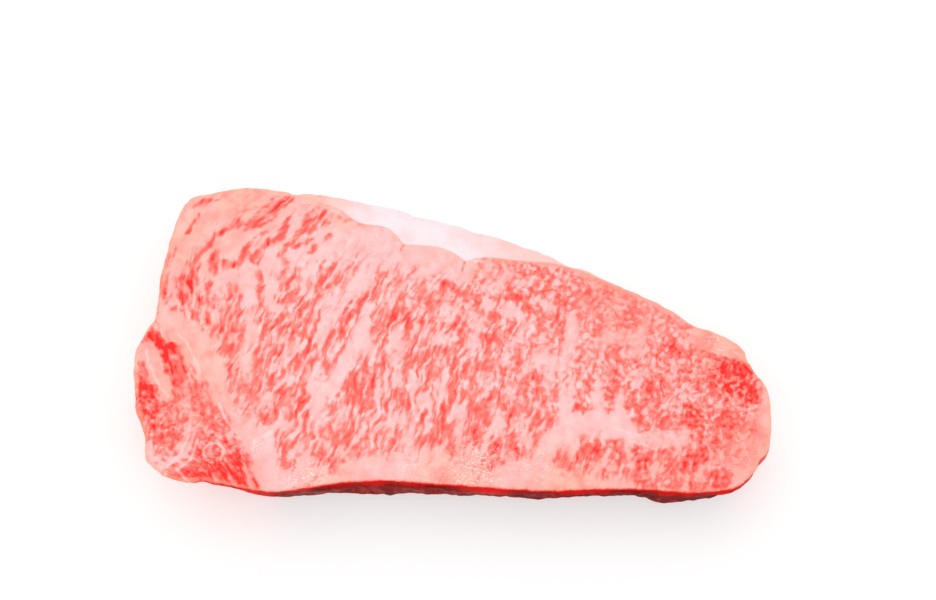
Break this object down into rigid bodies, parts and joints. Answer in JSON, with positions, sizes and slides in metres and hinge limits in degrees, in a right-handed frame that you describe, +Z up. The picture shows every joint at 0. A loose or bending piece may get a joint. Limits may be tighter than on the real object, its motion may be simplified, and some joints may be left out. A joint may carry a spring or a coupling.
{
  "type": "raw marbled sirloin steak",
  "caption": "Thick raw slice of heavily marbled beef sirloin, broad at one end and narrow at the other, lying flat, with a sloping rim of white fat along its back.",
  "frame": {"origin": "middle of the footprint, on the surface that the slice lies on", "axes": "+X along the slice to its narrow end, +Y across it to the fat cap, +Z up out of the upper cut face"},
  "size_m": [0.2196, 0.1142, 0.025],
  "materials": {
    "meat": "satin, moist"
  },
  "bodies": {
    "root": {"steak": "meat"}
  },
  "joints": []
}
